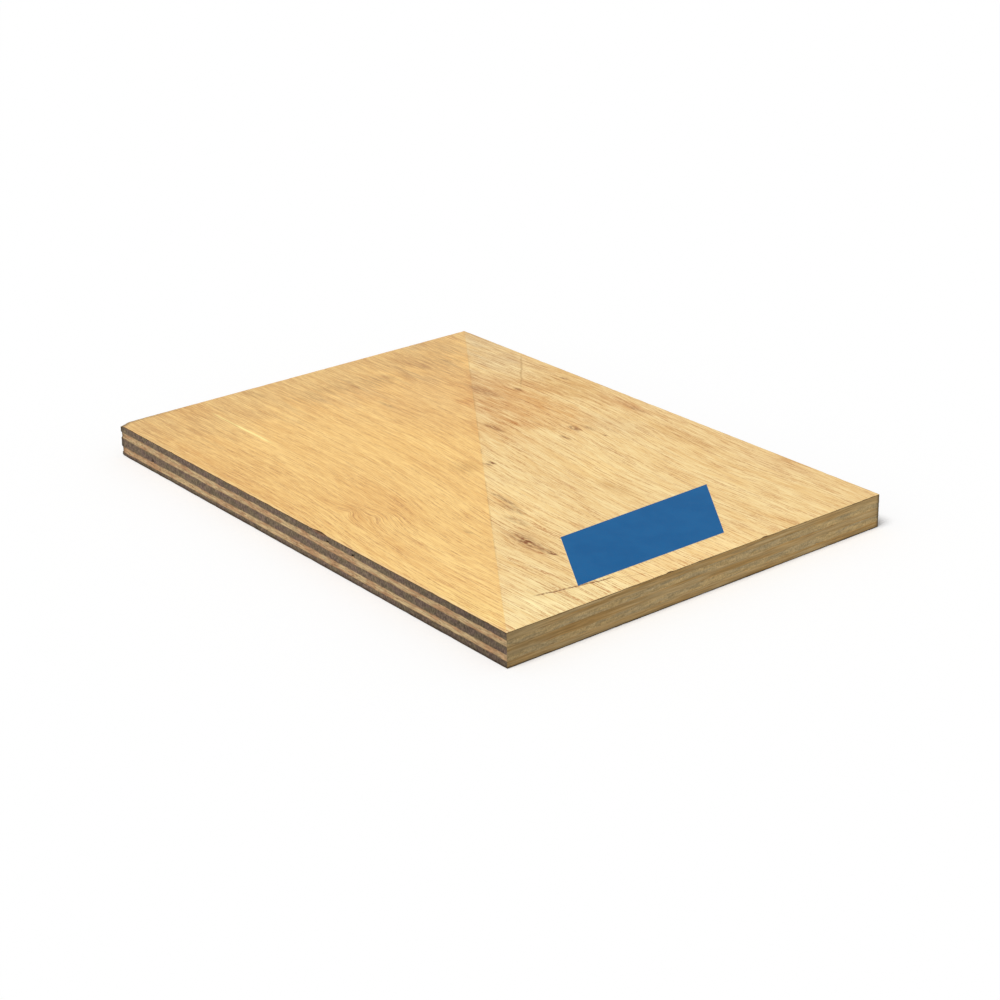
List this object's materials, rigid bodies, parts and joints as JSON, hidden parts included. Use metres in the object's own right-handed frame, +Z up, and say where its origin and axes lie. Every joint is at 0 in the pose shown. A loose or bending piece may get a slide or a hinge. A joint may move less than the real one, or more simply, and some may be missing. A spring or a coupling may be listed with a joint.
{
  "type": "plywood sheet",
  "caption": "Flat rectangular plywood panel of cross-laid veneers, with a sanded face, square sawn edges that show the plies, and one splintered corner.",
  "frame": {"origin": "middle of the underside, on the surface that the sheet lies on", "axes": "+X along the face grain and the long sides, +Y across the grain, +Z up out of the sanded face"},
  "size_m": [0.34, 0.24, 0.018],
  "materials": {
    "face_veneer": "matte",
    "back_veneer": "matte",
    "core_ply": "matte",
    "crossband": "matte",
    "label": "satin"
  },
  "bodies": {
    "root": {"back_veneer": "back_veneer", "lower_crossband": "crossband", "lower_core_ply": "core_ply", "centre_crossband": "crossband", "upper_core_ply": "core_ply", "upper_crossband": "crossband", "face_veneer": "face_veneer"}
  },
  "joints": []
}
